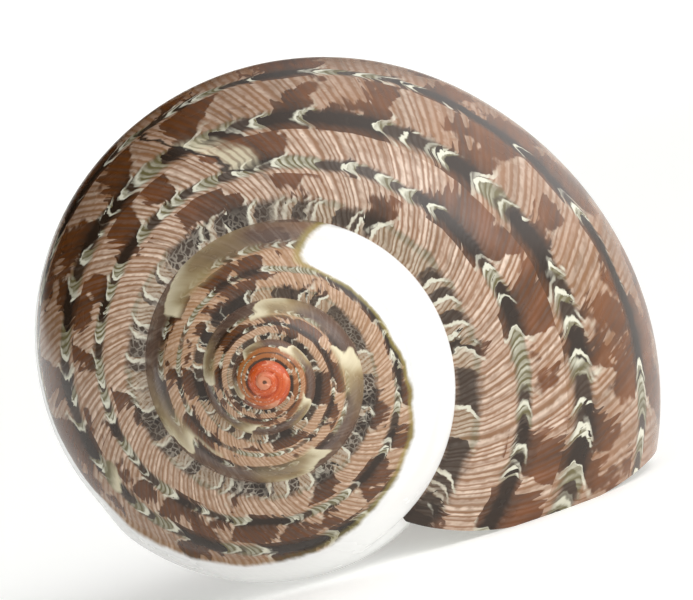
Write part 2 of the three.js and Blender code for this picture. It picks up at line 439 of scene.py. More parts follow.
def hollow_mouth(bm, spiral):
    """Rounds the lip and runs the hollow back from the mouth's edge. Returns its faces."""
    turn_of = bm.verts.layers.float.new("turn")
    ray_of = bm.verts.layers.float.new("ray")
    rim_of = bm.verts.layers.float_vector.new("rim")
    weld_edges(bm)
    growth_of = bm.verts.layers.float["growth"]
    before = set(bm.faces)
    chain = [e for e in bm.edges if e.is_boundary and min(v[growth_of] for v in e.verts) > -MOUTH_TURNS]
    for vert in {v for e in chain for v in e.verts}:
        radius = math.hypot(vert.co.x, vert.co.y)
        turn = LIP_PERIPHERY + spiral.bow
        if radius > AXIS_REACH:
            turn = -math.atan2(vert.co.y, vert.co.x) / CIRCLE
        scale = spiral.growth**turn
        vert[turn_of] = turn
        vert[ray_of] = math.atan2(vert.co.z / scale - HOLLOW_CENTRE[1], radius / scale - HOLLOW_CENTRE[0])
        vert[rim_of] = vert.co
    for row in range(1, LIP_ROWS + round(HOLLOW_TURNS * HOLLOW_STEPS_PER_TURN) + 1):
        ring, chain = extrude_chain(bm, chain)
        share = min(row / LIP_ROWS, 1)
        back = max(row - LIP_ROWS, 0) / HOLLOW_STEPS_PER_TURN
        for vert in ring:
            turn, ray = vert[turn_of] - back - LIP_BEVEL_TURN * share, vert[ray_of]
            wall = hollow_point(spiral, ray, turn)
            onward = (hollow_point(spiral, ray, turn + ONWARD_TURN) - wall).normalized()
            vert.co = vert[rim_of].lerp(wall, share) + onward * LIP_ROUNDING * math.sin(math.pi * share)
    bmesh.ops.contextual_create(bm, geom=chain)
    return [face for face in bm.faces if face not in before]


def rest_matrix():
    """Carries the axis frame, with its origin at the pole of the spiral, to where the shell lies."""
    tip = min((v.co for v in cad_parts["shell"].data.vertices), key=lambda place: place.y)
    pole = Matrix.Translation(tip - Vector((0, TIP_DEPTH, 0)))
    return pole @ Matrix.Rotation(math.pi / 2, 4, "X") @ Matrix.Rotation(math.radians(REST_ROLL_DEG), 4, "Z")


def shell_mesh(form):
    """The whole shell as one closed mesh: skin, tip, lip and hollow."""
    spiral = spiral_of(form)
    bm = bmesh.new()
    bm.verts.layers.int.new("column")
    growth_of = bm.verts.layers.float.new("growth")
    across_of = bm.verts.layers.float.new("across")
    growth_map = bm.loops.layers.uv.new(GROWTH_MAP)
    grow_strip(bm, upper_columns(spiral), -GROWN_TURNS * STEPS_PER_TURN)
    grow_strip(bm, lower_columns(spiral), -spiral.covered)
    for face in bm.faces:
        for loop in face.loops:
            loop[growth_map].uv = (loop.vert[growth_of], loop.vert[across_of])
    first_whorl = [f for f in bm.faces if max(v[growth_of] for v in f.verts) < 1 - GROWN_TURNS + HALF_STEP]
    for face in hollow_mouth(bm, spiral):
        face.material_index = 1
    copy_whorls(bm, spiral, first_whorl, growth_map)
    weld_edges(bm)
    cap_apex(bm, growth_map)
    bmesh.ops.recalc_face_normals(bm, faces=bm.faces)
    for face in bm.faces:
        face.smooth = True
    bmesh.ops.transform(bm, matrix=rest_matrix(), verts=bm.verts)
    for vert in bm.verts:
        vert.co.z = max(vert.co.z, 0)  # the lip is worn flat where it rests
    mesh = bpy.data.meshes.new("turban_shell")
    bm.to_mesh(mesh)
    bm.free()
    mesh.set_sharp_from_angle(angle=math.radians(SHARP_DEG))
    return mesh


MATH = "ShaderNodeMath"
RANGE = "ShaderNodeMapRange"
MIX = "ShaderNodeMix"
NOISE = "ShaderNodeTexNoise"
RAMP = "ShaderNodeValToRGB"
MAPPING = "ShaderNodeMapping"
SPLIT = "ShaderNodeSeparateXYZ"
JOIN = "ShaderNodeCombineXYZ"
SHADER = "ShaderNodeBsdfPrincipled"
TIMES = {"operation": "MULTIPLY"}
PLUS = {"operation": "ADD"}
MINUS = {"operation": "SUBTRACT"}
TIMES_PLUS = {"operation": "MULTIPLY_ADD"}
SMOOTH = {"interpolation_type": "SMOOTHSTEP"}
LINE = {"noise_dimensions": "1D"}
PLANE = {"noise_dimensions": "2D"}
FACTOR, UNDER, OVER, MIXED = 0, 6, 7, 2  # sockets of a colour mix


def add_node(tree, kind, inputs=(), out=0, stops=(), **settings):
    """Adds a node with its settings, values and links, and returns one of its outputs."""
    node = tree.nodes.new(kind)
    for name, value in settings.items():
        setattr(node, name, value)
    pairs = inputs.items() if isinstance(inputs, dict) else enumerate(inputs)
    for socket, value in pairs:
        if isinstance(value, bpy.types.NodeSocket):
            tree.links.new(value, node.inputs[socket])
        else:
            node.inputs[socket].default_value = value
    for i, (position, colour) in enumerate(stops):
        element = node.color_ramp.elements[i] if i < 2 else node.color_ramp.elements.new(position)
        element.position = position
        element.color = colour
    return node.outputs[out] if node.outputs else node


def new_material(name):
    """A material with no nodes yet, and the call that adds them."""
    material = bpy.data.materials.new(name)
    material.use_nodes = True
    material.node_tree.nodes.clear()
    return material, functools.partial(add_node, material.node_tree)


# Pattern of the skin. Lengths along it are in turns of growth, lengths across it in 90 degrees of section.
# Four numbers in a row are a change: the values between which it happens, then what it goes from and to.
LAST_TURN = 234 * MM  # once round the last whorl
TURN_PER_ACROSS = 5.8
QUARTER = LAST_TURN / TURN_PER_ACROSS  # 90 degrees of its section
PACE = 0.38  # how much denser the pattern gets with each turn, as an exponent
WANDER = {"Scale": round(QUARTER / (8 * MM)), "Detail": 3}
JITTER = {"Scale": round(QUARTER / (1.35 * MM)), "Detail": 2}
ACROSS_WANDER = 0.05
GROWTH_JITTER = 0.007
NOISE_MIDDLE = 0.5
NOISE_SPAN = (0.3, 0.7)
UPPER_SUTURE = 1.02
SPIRE_END = (-1.35, -1.12)  # from the spire to the last whorl

# A row is a dark spiral band: its section angle, its half width and how warm the ground below it is.
ROWS = (
    (88, 5.0, 0.1),
    (70, 2.5, 0.22),
    (50.5, 4.0, 0.9),
    (23.5, 2.6, 0.8),
    (-4, 3.0, 0.5),
    (-29, 3.2, 0.4),
    (-53, 3.0, 0.3),
)
ROW_REACH = 1.35  # half widths from a row's middle to where it has faded out
ROW_CORE = 0.2
ROW_BEND = 0.009
ROW_UNEVEN = (0.9, 0.55)
ROW_EDGE = (0.45, 1.25, 1, 0)
ROW_SHADE = (0.8, 2.8, 0.5, 0)
ROW_STRENGTH = 0.9
ROW_WEAR = 0.35
WEAR_ACROSS = (0.84, 0.9, 1, 0)
WEAR_BREAKS = (0.35, 0.6, 0.3, 1)
ACROSS_LOW = -1.6
ACROSS_HIGH = 1.05
ACROSS_SPAN = ACROSS_HIGH - ACROSS_LOW

STRIPES_PER_TURN = round(LAST_TURN / (1.026 * MM))
STRIPE_BEND = 0.4
DRIFTS_PER_TURN = 50
STRIPE_DRIFT = 2.0
STRIPE_JITTER = 0.5
STRIPE_BREAKS = 2.0
BREAKS_PER_ACROSS = 5.0
STRIPE_EDGE = (-0.1, 1.6, 0, 1)
HAIRS_PER_STRIPE = 0.8
STRIPE_FADE = (0.32, 0.66, 0.42, 1)
STRIPE_BLOTCH = (0.36, 0.58, 0.55, 1)
STRIPE_PLAIN = (0.14, 0.27, 0.35, 1)
STRIPE_WARMTH = (-0.6, 1.1)
STRIPE_GAP = (0, 1, 0.16, 1)
STRIPE_ON_BARE = (0, 1, 0.07, 1)
LINE_STRENGTH = 0.5
TAN_CAST = (-1.4, -0.4, 0.6, 0.25)
# Painted shade: umber over the ground of the earlier growth, darkest before turn -0.6, so the dim left side
# of the last whorl reads darker.
OLDER_GROWTH_PAINTED_SHADE = (-0.6, -0.12, 0.6, 0)
MOTTLE = (round(LAST_TURN / (3.9 * MM)), round(QUARTER / (13.4 * MM)), 1)
MOTTLE_CAST = (0.38, 0.64, 0, 0.9)

TENTS_PER_TURN = round(LAST_TURN / (6.9 * MM))
TENT_DRIFT = 1.9
LANE_SHIFT = 2.2  # how little the tents of neighbouring lanes have in common
TENT_SLANT = 0.16
TENT_STEEPENING = 0.03
TENT_EDGE = 0.0032
TENT_RAG = 0.011
TENT_LEAST = 0.007
TENT_BAR = 0.21
TENT_BAR_SHOULDER = (0.72, 0.86, TENT_BAR, 0.1)
TENT_BAR_WANDER = 0.5
TENT_BLUR = 0.02
EDGE_BREAKS = (0.35, 0.65, 0.1, 0.8)
EDGE_NEAR_ROW = (1.2, 2.4, 1, 0.1)

MARKS_PER_TURN = round(LAST_TURN / (3.35 * MM))
MARK_ROW_STEP = 60  # keeps the marks of one row unlike those of the next
MARK_BAR = (0.2, -0.68)
MARK_BLUR = 0.03
MARK_EDGE = 0.003
MARK_EDGE_STRENGTH = 0.9
STROKE_STRENGTH = 0.75
OLIVE_STRENGTH = 0.8
SHOULDER = (0.925, 0.955, 0, 1)
SHOULDER_MARKS = (-0.7, 1.0)
SHOULDER_GAPS = (-0.9, 1.0)

NET_CELLS = (round(LAST_TURN / (1.17 * MM)), round(QUARTER / (1.35 * MM)), 1)
NET_THREAD = (0.03, 0.16, 1.3, 0)
NET_TURNS = (-0.3, -0.5, 0, 1)
NET_PATCHES = (0.35, 0.6, 1, 0.25)

SPIRE_BAND = 0.56
SPIRE_BAND_EDGE = (SPIRE_BAND - 0.07, SPIRE_BAND + 0.02, 1, 0)
SPIRE_BAND_STRENGTH = 0.9
DUSK = (SPIRE_BAND - 0.26, SPIRE_BAND - 0.05, 0.05, 0.55)
DUSK_BREAKS = (*NOISE_SPAN, 0.6, 1)
STREAKS = (0.4, 0.7, 0, 0.07)
FLAMES_PER_TURN = 4.55
FLAME_SLANT = 0.2
FLAME_TOP = (0.6, 0.7, 1, 0)
FLAME_WAVES = {"Scale": round(QUARTER / (13.4 * MM)), "Detail": 0}
FLAME_SWAY = 0.5
FLAME_FRAY = 0.06
FLAME_FRONT = (0.0, 0.04, 0, 1)
FLAME_GLOW = (0.1, 0.6, 0.85, 0)
FLAME_HEART = (0.03, 0.26, 0.95, 0)
RUST = (-3.4, -2.7, 0.85, 0)
APEX = (-4.0, -3.6, 0.72, 0)
EMBRYO = (-5.6, -5.1, 0.8, 0)
NUCLEUS = (-6.7, -6.5, 0.9, 0)

SCAR_SWAY = 0.035
SCAR_HOOK = (0.76, 0.82, 0, 0.02)
CRACK = (0.0006, 0.002, 0.9, 0)
CRACK_FOOT = (0.2, 0.3, 0, 1)
CRACK_HEAD = (0.78, 0.86, 1, 0)
PATCH_FRONT = (0.0, 0.003, 0, 1)
PATCH_RAG = -0.04
PATCH_REAR = (-0.017, 0.0, 1, 0)
PATCH_STRIPES = (0, 1, 0.45, 1)
PATCH_HEAD = (0.74, 0.8, 1, 0)
PATCH_FOOT = (0.46, 0.58, 0, 0.75)
SPOT = (-0.673, 0.575)
SPOT_HALF = (0.011, 0.07)
SPOT_EDGE = (0.6, 1.3, 0.85, 0)
# Painted highlight: cream over the earlier half of the pale spot.
SPOT_PAINTED_HIGHLIGHT = (-0.7, 0.5, 1, 0)

CALLUS_START = -1.213
CALLUS_START_SLANT = 0.14
CALLUS_START_ACROSS = 2.5
CALLUS_START_ROUND = 0.2
CALLUS_UPPER = 0.757
CALLUS_SLOPE = 0.85
CALLUS_MEETS = -0.22
CALLUS_END = -0.5
CALLUS_END_SLANT = 0.25
CALLUS_END_ROUND = 0.05
CALLUS_JITTER = 0.012
CALLUS_EDGE = (-0.006, 0.02, 0, 1)
MOSS_EDGE = (-0.03, -0.004, 0, 0.65)
MOSS_TURNS = (-1.0, -0.8, 1, 0.1)
BLUSH_ACROSS = 0.48
BLUSH = (0.0, 0.09, 0.4, 0)
BLUSH_TURNS = (-1.05, -0.9, 1, 0)
FOOT_CAST = (-1.42, -1.1, 0.9, 0)

SKIN_GLOSS = (*NOISE_SPAN, 0.2, 0.3)
SKIN_IOR = 1.46
GROOVE_BREAKS = 0.4
GROOVE_STRENGTH = 0.06
GROOVE_DEPTH = 0.05 * MM

PEARL_CLOUD = {"Scale": round(1 / (11.1 * MM)), "Detail": 3}
PEARL_PINK = "#e7d9d3"
PEARL_GREEN = "#dfe6dc"
PEARL_STOPS = (0.3, 0.5, 0.7)
PEARL_ROUGHNESS = 0.24
PEARL_IOR = 1.6


def zone_stops():
    """Constant stops that give each place its row: the row's centre, warmth and half width."""
    stops = []
    for i, (degrees, half, warmth) in reversed(list(enumerate(ROWS))):
        low = 0
        if i + 1 < len(ROWS):
            next_degrees, next_half = ROWS[i + 1][:2]
            low = ((next_degrees + ROW_REACH * next_half) / DEG_PER_ACROSS - ACROSS_LOW) / ACROSS_SPAN
        centre = (degrees / DEG_PER_ACROSS - ACROSS_LOW) / ACROSS_SPAN
        stops.append((low, (centre, warmth, 0, half / DEG_PER_ACROSS)))
    return stops


def skin_places(add):
    """Places that all parts of the pattern share, with a wander so that no line is ruled."""
    grown = add("ShaderNodeUVMap", uv_map=GROWTH_MAP)
    growth = add(SPLIT, (grown,), "X")
    across = add(SPLIT, (grown,), "Y")
    even = add(MAPPING, {"Vector": grown, "Scale": (TURN_PER_ACROSS, 1, 1)})
    wander = add(NOISE, {"Vector": even, **WANDER}, "Fac")
    jitter = add(NOISE, {"Vector": even, **JITTER}, "Fac")
    across_off = add(MATH, (wander, NOISE_MIDDLE), **MINUS)
    growth_off = add(MATH, (jitter, NOISE_MIDDLE), **MINUS)
    return SimpleNamespace(
        grown=grown,
        growth=growth,
        across=across,
        even=even,
        wander=wander,
        jitter=jitter,
        across_off=across_off,
        growth_off=growth_off,
        v=add(MATH, (across_off, ACROSS_WANDER, across), **TIMES_PLUS),
        g=add(MATH, (growth_off, GROWTH_JITTER, growth), **TIMES_PLUS),
        early=add(RANGE, (growth, *SPIRE_END, 1, 0), **SMOOTH),
    )


def add_rows(add, at):
    """How far each place is from its dark row, in half widths, and how the lines of growth bend there."""
    low = add(RANGE, (at.v, *SPIRE_BAND_EDGE), **SMOOTH)
    at.smooth = add(MATH, (at.early, low), **TIMES)
    patterned = add(MATH, (1.0, at.smooth), **MINUS)
    place = add(RANGE, (at.v, ACROSS_LOW, ACROSS_HIGH, 0, 1))
    zone = add(RAMP, (place,), stops=zone_stops())
    zone.node.color_ramp.interpolation = "CONSTANT"
    at.row_centre = add(SPLIT, (zone,), "X")
    at.warmth = add(SPLIT, (zone,), "Y")
    off_row = add(MATH, (add(MATH, (place, at.row_centre), **MINUS), ACROSS_SPAN), **TIMES)
    share = add(MATH, (off_row, zone.node.outputs["Alpha"]), operation="DIVIDE")
    from_row = add(MATH, (share,), operation="ABSOLUTE")
    bend = add(RANGE, (from_row, ROW_CORE, ROW_REACH, ROW_BEND, 0), **SMOOTH)
    at.bend = add(MATH, (bend, patterned), **TIMES)
    uneven = add(MATH, (at.jitter, *ROW_UNEVEN), **TIMES_PLUS)
    at.row_share = add(MATH, (from_row, uneven), **TIMES)
    at.row = add(RANGE, (at.row_share, *ROW_EDGE), **SMOOTH)
    at.shoulder = add(RANGE, (at.v, *SHOULDER), **SMOOTH)


def add_stripes(add, at):
    """Growth stripes: uneven pale lines across the whorl, parted by thin brown ones."""
    bowed = add(MATH, (at.bend, STRIPE_BEND, at.growth), **TIMES_PLUS)
    aged = add(MATH, (add(MATH, (bowed, PACE), **TIMES),), operation="EXPONENT")
    drift_place = add(MATH, (aged, DRIFTS_PER_TURN / PACE), **TIMES)
    drift = add(NOISE, {"W": drift_place, "Scale": 1, "Detail": 2}, "Fac", **LINE)
    count = add(MATH, (aged, STRIPES_PER_TURN / PACE), **TIMES)
    phase = add(MATH, (drift, STRIPE_DRIFT, count), **TIMES_PLUS)
    phase = add(MATH, (at.jitter, STRIPE_JITTER, phase), **TIMES_PLUS)
    wave = add(MATH, (add(MATH, (phase, CIRCLE), **TIMES),), operation="SINE")
    along = add(JOIN, (count, add(MATH, (at.across, BREAKS_PER_ACROSS), **TIMES)))
    at.breaks = add(NOISE, {"Vector": along, "Scale": 1, "Detail": 3}, "Fac")
    wave = add(MATH, (at.breaks, STRIPE_BREAKS, wave), **TIMES_PLUS)
    at.stripe = add(RANGE, (wave, *STRIPE_EDGE), **SMOOTH)
    hair_place = add(MATH, (count, HAIRS_PER_STRIPE), **TIMES)
    at.hair = add(NOISE, {"W": hair_place, "Scale": 1, "Detail": 2}, "Fac", **LINE)


def add_tents(add, at):
    """Pale tents: patches of stripes between two rows, with a bright leading edge and a ragged rear."""
    depth = add(MATH, (UPPER_SUTURE, at.v), **MINUS)
    slant = add(MATH, (depth, -TENT_STEEPENING, TENT_SLANT), **TIMES_PLUS)
    run = add(MATH, (add(MATH, (depth, slant), **TIMES), at.bend), **MINUS)
    bent = add(MATH, (at.g, run), **MINUS)
    aged = add(MATH, (add(MATH, (bent, PACE), **TIMES),), operation="EXPONENT")
    at.bent = add(MATH, (aged, 1 / PACE), **TIMES)
    rag = add(RANGE, (at.hair, *NOISE_SPAN, 0, TENT_RAG))
    lane = add(MATH, (at.row_centre, ACROSS_SPAN * LANE_SHIFT, at.v), **TIMES_PLUS)
    bar = add(RANGE, (at.v, *TENT_BAR_SHOULDER), **SMOOTH)
    bar = add(MATH, (bar, add(RANGE, (at.growth, *SPIRE_END, TENT_BAR, 0))), operation="MAXIMUM")
    bar = add(MATH, (at.wander, TENT_BAR_WANDER, bar), **TIMES_PLUS)
    found = []
    for shift in (-TENT_EDGE, 0, TENT_LEAST, rag):
        spot = add(JOIN, (add(MATH, (at.bent, shift), **PLUS), lane))
        spot = add(MAPPING, {"Vector": spot, "Scale": (TENTS_PER_TURN, TENT_DRIFT, 1)})
        level = add(NOISE, {"Vector": spot, "Scale": 1, "Detail": 2.5}, "Fac", **PLANE)
        level = add(MATH, (level, bar), **MINUS)
        found.append(add(RANGE, (level, -TENT_BLUR, TENT_BLUR, 0, 1), **SMOOTH))
    before, tent, further, rear = found
    opened = add(MATH, (further, before), use_clamp=True, **MINUS)
    at.edge = add(MATH, (tent, opened), **TIMES)
    at.filled = add(MATH, (tent, rear), **TIMES)


def add_marks(add, at):
    """Bundles of pale strokes that part a dark row into blocks, most of them where a tent crosses it."""
    more = add(MATH, (at.filled, *MARK_BAR), **TIMES_PLUS)
    found = []
    for shift in (-MARK_EDGE, 0):
        spot = add(JOIN, (add(MATH, (at.bent, shift), **PLUS), at.row_centre))
        spot = add(MAPPING, {"Vector": spot, "Scale": (MARKS_PER_TURN, MARK_ROW_STEP, 1)})
        level = add(NOISE, {"Vector": spot, "Scale": 1, "Detail": 1}, "Fac", **PLANE)
        level = add(MATH, (level, more), **PLUS)
        found.append(add(RANGE, (level, -MARK_BLUR, MARK_BLUR, 0, 1), **SMOOTH))
    before, at.mark = found
    at.mark_edge = add(MATH, (at.mark, before), use_clamp=True, **MINUS)


def shoulder_net(add, at):
    """Fine pale net on the dark row below the suture, in the middle part of the last whorl."""
    cells = add(MAPPING, {"Vector": add(JOIN, (at.bent, at.across)), "Scale": NET_CELLS})
    rim = add("ShaderNodeTexVoronoi", {"Vector": cells, "Scale": 1}, "Distance", feature="DISTANCE_TO_EDGE")
    net = add(RANGE, (rim, *NET_THREAD), **SMOOTH)
    netted = add(RANGE, (at.growth, *NET_TURNS), **SMOOTH)
    netted = add(MATH, (add(RANGE, (at.wander, *NET_PATCHES)), netted), **TIMES)
    netted = add(MATH, (netted, add(RANGE, (at.growth, *SPIRE_END, 0, 1))), **TIMES)
    netted = add(MATH, (netted, at.shoulder), **TIMES)
    return add(MATH, (add(MATH, (net, netted), **TIMES), at.breaks), **TIMES)


def row_layers(add, at, colours):
    """Striped tents and the dark rows, which the stripes of a tent cross as pale crescents."""
    faded = add(RANGE, (at.hair, *STRIPE_FADE))
    faded = add(MATH, (faded, add(RANGE, (at.jitter, *STRIPE_BLOTCH))), **TIMES)
    faded = add(MATH, (faded, add(RANGE, (at.v, *STRIPE_PLAIN))), **TIMES)
    faded = add(MATH, (faded, add(MATH, (at.warmth, *STRIPE_WARMTH), **TIMES_PLUS)), **TIMES)
    striped = add(RANGE, (at.stripe, *STRIPE_GAP))
    spread = add(RANGE, (at.filled, *STRIPE_ON_BARE))
    pale = add(MATH, (add(MATH, (spread, striped), **TIMES), faded), **TIMES)
    lines = add(MATH, (add(MATH, (1.0, at.stripe), **MINUS), LINE_STRENGTH), **TIMES)
    shade = add(RANGE, (at.row_share, *ROW_SHADE), **SMOOTH)
    shade = add(MATH, (shade, add(MATH, (1.0, at.filled), **MINUS)), **TIMES)
    marked = add(MATH, (at.mark, at.row), **TIMES)
    marked = add(MATH, (marked, add(MATH, (at.shoulder, *SHOULDER_MARKS), **TIMES_PLUS)), **TIMES)
    strokes = add(MATH, (add(MATH, (marked, at.stripe), **TIMES), faded), **TIMES)
    strokes = add(MATH, (strokes, STROKE_STRENGTH), **TIMES)
    mark_edge = add(MATH, (add(MATH, (at.mark_edge, at.row), **TIMES), MARK_EDGE_STRENGTH), **TIMES)
    olive = add(MATH, (marked, OLIVE_STRENGTH), **TIMES)
    worn = add(RANGE, (at.growth, *SPIRE_END, ROW_WEAR, 0), **SMOOTH)
    worn = add(MATH, (worn, add(RANGE, (at.v, *WEAR_ACROSS))), **TIMES)
    worn = add(MATH, (worn, add(RANGE, (at.hair, *WEAR_BREAKS))), **TIMES)
    row = add(MATH, (at.row, add(MATH, (ROW_STRENGTH, worn), use_clamp=True, **MINUS)), **TIMES)
    gaps = add(MATH, (at.shoulder, at.mark), **TIMES)
    row = add(MATH, (row, add(MATH, (gaps, *SHOULDER_GAPS), **TIMES_PLUS)), **TIMES)
    edge = add(MATH, (at.edge, add(RANGE, (at.breaks, *EDGE_BREAKS))), **TIMES)
    edge = add(MATH, (edge, add(RANGE, (at.row_share, *EDGE_NEAR_ROW))), **TIMES)
    tan = add(MATH, (at.filled, add(RANGE, (at.growth, *TAN_CAST))), **TIMES)
    return (
        (lines, colours.amber),
        (shade, colours.band),
        (pale, colours.stripe),
        (tan, colours.tan),
        (add(RANGE, (at.growth, *RUST), **SMOOTH), colours.rust),
        (row, colours.band),
        (olive, colours.olive),
        (strokes, colours.crescent),
        (edge, colours.crescent),
        (mark_edge, colours.crescent),
        (shoulder_net(add, at), colours.net),
    )


def spire_layers(add, at, colours):
    """Smooth lower part of the spire whorls with its pale flames, and the orange tip."""
    smooth = add(MATH, (at.smooth, SPIRE_BAND_STRENGTH), **TIMES)
    dusk = add(RANGE, (at.v, *DUSK), **SMOOTH)
    dusk = add(MATH, (dusk, add(RANGE, (at.breaks, *DUSK_BREAKS))), **TIMES)
    dusk = add(MATH, (dusk, smooth), **TIMES)
    streaks = add(MATH, (at.stripe, add(RANGE, (at.hair, *STREAKS))), **TIMES)
    streaks = add(MATH, (streaks, smooth), **TIMES)
    place = add(MATH, (at.v, FLAME_SLANT, at.growth), **TIMES_PLUS)
    place = add(MATH, (place, FLAMES_PER_TURN), **TIMES)
    sway = add(NOISE, {"Vector": at.even, **FLAME_WAVES}, "Fac")
    place = add(MATH, (sway, FLAME_SWAY, place), **TIMES_PLUS)
    place = add(MATH, (at.hair, FLAME_FRAY, place), **TIMES_PLUS)
    share = add(MATH, (place,), operation="FRACT")
    licked = add(MATH, (add(RANGE, (at.v, *FLAME_TOP), **SMOOTH), at.early), **TIMES)
    licked = add(MATH, (add(RANGE, (share, *FLAME_FRONT), **SMOOTH), licked), **TIMES)
    glow = add(MATH, (add(RANGE, (share, *FLAME_GLOW), **SMOOTH), licked), **TIMES)
    heart = add(MATH, (add(RANGE, (share, *FLAME_HEART), **SMOOTH), licked), **TIMES)
    return (
        (smooth, colours.lilac),
        (dusk, colours.band),
        (streaks, colours.stripe),
        (glow, colours.flame),
        (heart, colours.cream),
        (add(RANGE, (at.growth, *APEX), **SMOOTH), colours.apex),
        (add(RANGE, (at.growth, *EMBRYO), **SMOOTH), colours.embryo),
        (add(RANGE, (at.growth, *NUCLEUS), **SMOOTH), colours.umber),
    )


def repair_layers(add, at, colours):
    """An old break mended by the animal: a thin dark line, a cream patch and a pale spot with painted
    highlight.
    """
    line = add(MATH, (at.across_off, SCAR_SWAY, SCAR_TURN), **TIMES_PLUS)
    line = add(MATH, (add(RANGE, (at.across, *SCAR_HOOK)), line), **PLUS)
    past = add(MATH, (at.growth, line), **MINUS)
    crack = add(RANGE, (add(MATH, (past,), operation="ABSOLUTE"), *CRACK))
    crack = add(MATH, (crack, add(RANGE, (at.across, *CRACK_FOOT), **SMOOTH)), **TIMES)
    crack = add(MATH, (crack, add(RANGE, (at.across, *CRACK_HEAD))), **TIMES)
    ragged = add(MATH, (at.wander, PATCH_RAG, past), **TIMES_PLUS)
    patch = add(RANGE, (ragged, *PATCH_REAR), **SMOOTH)
    patch = add(MATH, (patch, add(RANGE, (at.stripe, *PATCH_STRIPES))), **TIMES)
    patch = add(MATH, (patch, add(RANGE, (past, *PATCH_FRONT), **SMOOTH)), **TIMES)
    patch = add(MATH, (patch, add(RANGE, (at.v, *PATCH_HEAD), **SMOOTH)), **TIMES)
    patch = add(MATH, (patch, add(RANGE, (at.v, *PATCH_FOOT), **SMOOTH)), **TIMES)
    along = add(MATH, (add(MATH, (at.g, SPOT[0]), **MINUS), SPOT_HALF[0]), operation="DIVIDE")
    aside = add(MATH, (add(MATH, (at.v, SPOT[1]), **MINUS), SPOT_HALF[1]), operation="DIVIDE")
    reach = add(MATH, (aside, aside, add(MATH, (along, along), **TIMES)), **TIMES_PLUS)
    spot = add(RANGE, (reach, *SPOT_EDGE), **SMOOTH)
    # painted highlight: cream on the earlier half of the spot
    painted_highlight = add(MATH, (add(RANGE, (along, *SPOT_PAINTED_HIGHLIGHT), **SMOOTH), spot), **TIMES)
    return ((patch, colours.cream), (spot, colours.olive), (painted_highlight, colours.cream), (crack, colours.band))


def callus_layers(add, at, colours):
    """White callus in front of the mouth, with a yellow-green edge and a faint blush, and the pale foot."""
    fall = add(MATH, (at.growth, -CALLUS_SLOPE, CALLUS_MEETS), **TIMES_PLUS)
    below = add(MATH, (add(MATH, (fall, CALLUS_UPPER), operation="MINIMUM"), at.v), **MINUS)
    after = add(MATH, (at.across, CALLUS_START_SLANT, at.growth), **TIMES_PLUS)
    after = add(MATH, (add(MATH, (after, CALLUS_START), **MINUS), CALLUS_START_ACROSS), **TIMES)
    inside = add(MATH, (below, after, CALLUS_START_ROUND), operation="SMOOTH_MIN")
    far_end = add(MATH, (at.across, CALLUS_END_SLANT, CALLUS_END), **TIMES_PLUS)
    ending = add(MATH, (far_end, at.growth), **MINUS)
    inside = add(MATH, (inside, ending, CALLUS_END_ROUND), operation="SMOOTH_MIN")
    inside = add(MATH, (at.growth_off, CALLUS_JITTER, inside), **TIMES_PLUS)
    callus = add(RANGE, (inside, *CALLUS_EDGE), **SMOOTH)
    moss = add(RANGE, (inside, *MOSS_EDGE), **SMOOTH)
    moss = add(MATH, (moss, add(RANGE, (at.growth, *MOSS_TURNS))), **TIMES)
    aside = add(MATH, (add(MATH, (at.v, BLUSH_ACROSS), **MINUS),), operation="ABSOLUTE")
    blush = add(MATH, (callus, add(RANGE, (at.growth, *BLUSH_TURNS), **SMOOTH)), **TIMES)
    blush = add(MATH, (blush, add(RANGE, (aside, *BLUSH), **SMOOTH)), **TIMES)
    foot = add(RANGE, (at.v, *FOOT_CAST), **SMOOTH)
    return ((foot, colours.cream), (moss, colours.moss), (callus, colours.callus), (blush, colours.stripe))


def patterned_skin(colours):
    """Glazed outer skin of a turban shell: a thin hard gloss over brown ground, striped along its growth."""
    material, add = new_material("glossy_patterned_shell_skin")
    at = skin_places(add)
    add_rows(add, at)
    add_stripes(add, at)
    add_tents(add, at)
    add_marks(add, at)
    mottle = add(MAPPING, {"Vector": at.grown, "Scale": MOTTLE})
    mottle = add(NOISE, {"Vector": mottle, "Scale": 1, "Detail": 4}, "Fac")
    layers = (
        (at.warmth, colours.amber),
        # painted shade: umber over the ground of earlier growth, for the dim left side of the last whorl
        (add(RANGE, (at.growth, *OLDER_GROWTH_PAINTED_SHADE)), colours.umber),
        (add(RANGE, (mottle, *MOTTLE_CAST)), colours.umber),
        *row_layers(add, at, colours),
        *spire_layers(add, at, colours),
        *repair_layers(add, at, colours),
        *callus_layers(add, at, colours),
    )
    ground = colours.brown
    for mask, colour in layers:
        ground = add(MIX, {FACTOR: mask, UNDER: ground, OVER: colour}, MIXED, data_type="RGBA")
    height = add(MATH, (at.breaks, GROOVE_BREAKS, at.stripe), **TIMES_PLUS)
    relief = {"Strength": GROOVE_STRENGTH, "Distance": GROOVE_DEPTH, "Height": height}
    grooves = add("ShaderNodeBump", relief, "Normal")
    gloss = add(RANGE, (at.wander, *SKIN_GLOSS))
    shader = add(SHADER, {"Base Color": ground, "Roughness": gloss, "IOR": SKIN_IOR, "Normal": grooves})
    add("ShaderNodeOutputMaterial", {"Surface": shader})
    return material


def pearl_lining(colours):
    """Mother-of-pearl inside the mouth: a soft sheen with clouds of faint colour."""
    material, add = new_material("mother_of_pearl_lining")
    cloud = add(NOISE, {"Vector": add("ShaderNodeTexCoord", out="Object"), **PEARL_CLOUD}, "Fac")
    tints = (linear(PEARL_PINK), tuple(colours.pearl), linear(PEARL_GREEN))
    tint = add(RAMP, (cloud,), stops=tuple(zip(PEARL_STOPS, tints)))
    shader = add(SHADER, {"Base Color": tint, "Roughness": PEARL_ROUGHNESS, "IOR": PEARL_IOR})
    add("ShaderNodeOutputMaterial", {"Surface": shader})
    return material


